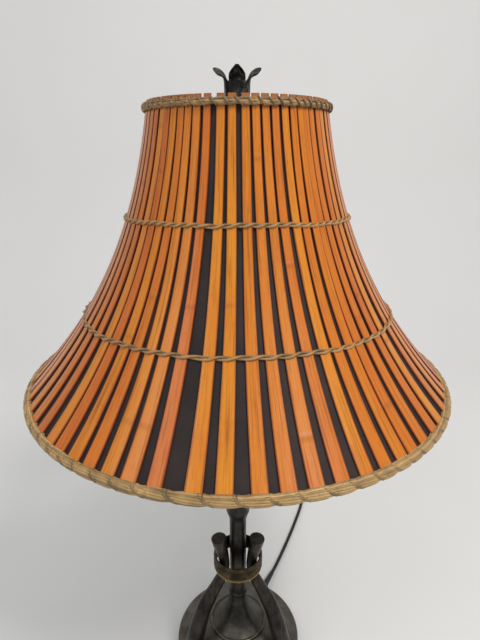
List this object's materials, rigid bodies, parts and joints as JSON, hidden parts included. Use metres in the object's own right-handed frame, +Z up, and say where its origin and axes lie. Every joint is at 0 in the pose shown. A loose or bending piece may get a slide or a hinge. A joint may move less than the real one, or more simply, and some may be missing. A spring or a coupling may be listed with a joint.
{
  "type": "table lamp with shade",
  "caption": "Table lamp: bronze base and column with three bowed legs, harp, and a flared bell shade of split bamboo slats bound with cane; floor cord with plug",
  "frame": {"origin": "middle of the base's underside, on the table", "axes": "+Z up, -Y the lamp's front, +X its right as seen from the front"},
  "size_m": [0.4419, 0.6216, 0.7143],
  "materials": {
    "felt": "dense green-black felt",
    "bronze": "dark bronze with rubbed edges",
    "iron": "raw casting",
    "steel": "zinc plated",
    "bronze_leg": "dark bronze with faint grain",
    "brass_binding": "antique brass, darkened in the hollows",
    "black_plastic": "moulded, fine texture",
    "cord_pvc": "soft black cord",
    "blade_brass": "bright",
    "harp_brass": "lacquered",
    "socket_brass": "lacquered",
    "liner_card": "pressed fibre",
    "socket_phenolic": "moulded phenolic",
    "bulb_glass": "frosted",
    "bulb_metal": "thin pressed shell",
    "frame_steel": "brass-coloured wire",
    "lining": "matt dark brown, stiff",
    "bamboo": "glossy stained split bamboo",
    "cane": "twined cane",
    "raffia": "bundled raffia with a diagonal wrap",
    "finial_bronze": "dark bronze casting",
    "insert_brass": "turned"
  },
  "bodies": {
    "stand": {"felt_pad": "felt", "base_dome": "bronze", "base_weight": "iron", "weight_screws": "steel", "base_washer": "steel", "base_nut": "steel", "threaded_rod": "steel", "base_collar": "bronze", "column_lower": "bronze", "column_cup": "bronze", "column_upper": "bronze", "column_cap": "bronze", "leg_left": "bronze_leg", "leg_right": "bronze_leg", "leg_rear": "bronze_leg", "leg_screws": "steel", "leg_binding": "brass_binding", "cord_bushing": "black_plastic", "inner_lead": "cord_pvc", "cord": "cord_pvc", "cord_coil": "cord_pvc", "plug_body": "black_plastic", "plug_blades": "blade_brass", "harp_saddle": "harp_brass", "socket_cap": "socket_brass", "socket_shell": "socket_brass", "socket_liner": "liner_card", "socket_body": "socket_phenolic", "socket_screw_shell": "socket_brass", "socket_contact": "socket_brass", "terminal_screws": "socket_brass"},
    "switch": {"switch_stem": "black_plastic", "switch_knob": "black_plastic"},
    "bulb_seat": {"bulb_contact": "bulb_metal"},
    "bulb": {"bulb_insulator": "black_plastic", "bulb_cap": "bulb_metal", "bulb_glass": "bulb_glass"},
    "harp": {"harp_wire": "harp_brass", "harp_seat": "harp_brass"},
    "ferrule_left": {"harp_ferrule_left": "harp_brass"},
    "ferrule_right": {"harp_ferrule_right": "harp_brass"},
    "shade": {"spider_hub": "frame_steel", "spider_arms": "frame_steel", "top_wire": "frame_steel", "bottom_wire": "frame_steel", "shade_ribs": "frame_steel", "shade_lining": "lining", "slats": "bamboo", "top_binding": "cane", "upper_twine": "cane", "lower_twine": "cane", "bottom_binding": "raffia"},
    "finial_thread": {"finial_insert": "insert_brass"},
    "finial": {"finial": "finial_bronze"}
  },
  "joints": [
    {"name": "switch_turn", "type": "hinge", "parent": "stand", "child": "switch", "pos_m": [0, 0, 0.4702], "axis": [0, -1, 0], "continuous": true},
    {"name": "bulb_lift", "type": "slide", "parent": "stand", "child": "bulb_seat", "axis": [0, 0, 1], "range_m": [0, 0.01814]},
    {"name": "bulb_spin", "type": "hinge", "parent": "bulb_seat", "child": "bulb", "pos_m": [0, 0, 0.5], "axis": [0, 0, 1], "range_deg": [0, 1800]},
    {"name": "harp_lift", "type": "slide", "parent": "stand", "child": "harp", "axis": [0, 0, 1], "range_m": [0, 0.03]},
    {"name": "left_ferrule_slide", "type": "slide", "parent": "harp", "child": "ferrule_left", "axis": [0, 0, 1], "range_m": [0, 0.01]},
    {"name": "right_ferrule_slide", "type": "slide", "parent": "harp", "child": "ferrule_right", "axis": [0, 0, 1], "range_m": [0, 0.01]},
    {"name": "shade_turn", "type": "hinge", "parent": "harp", "child": "shade", "pos_m": [0, 0, 0.671], "axis": [0, 0, 1], "continuous": true},
    {"name": "finial_lift", "type": "slide", "parent": "harp", "child": "finial_thread", "axis": [0, 0, 1], "range_m": [0, 0.0094]},
    {"name": "finial_spin", "type": "hinge", "parent": "finial_thread", "child": "finial", "pos_m": [0, 0, 0.68], "axis": [0, 0, 1], "range_deg": [0, 3600]}
  ],
  "couplings": [
    {"joint": "bulb_spin", "follows": "bulb_lift", "rad_per_m": 1730.9},
    {"joint": "finial_spin", "follows": "finial_lift", "rad_per_m": 6679}
  ]
}
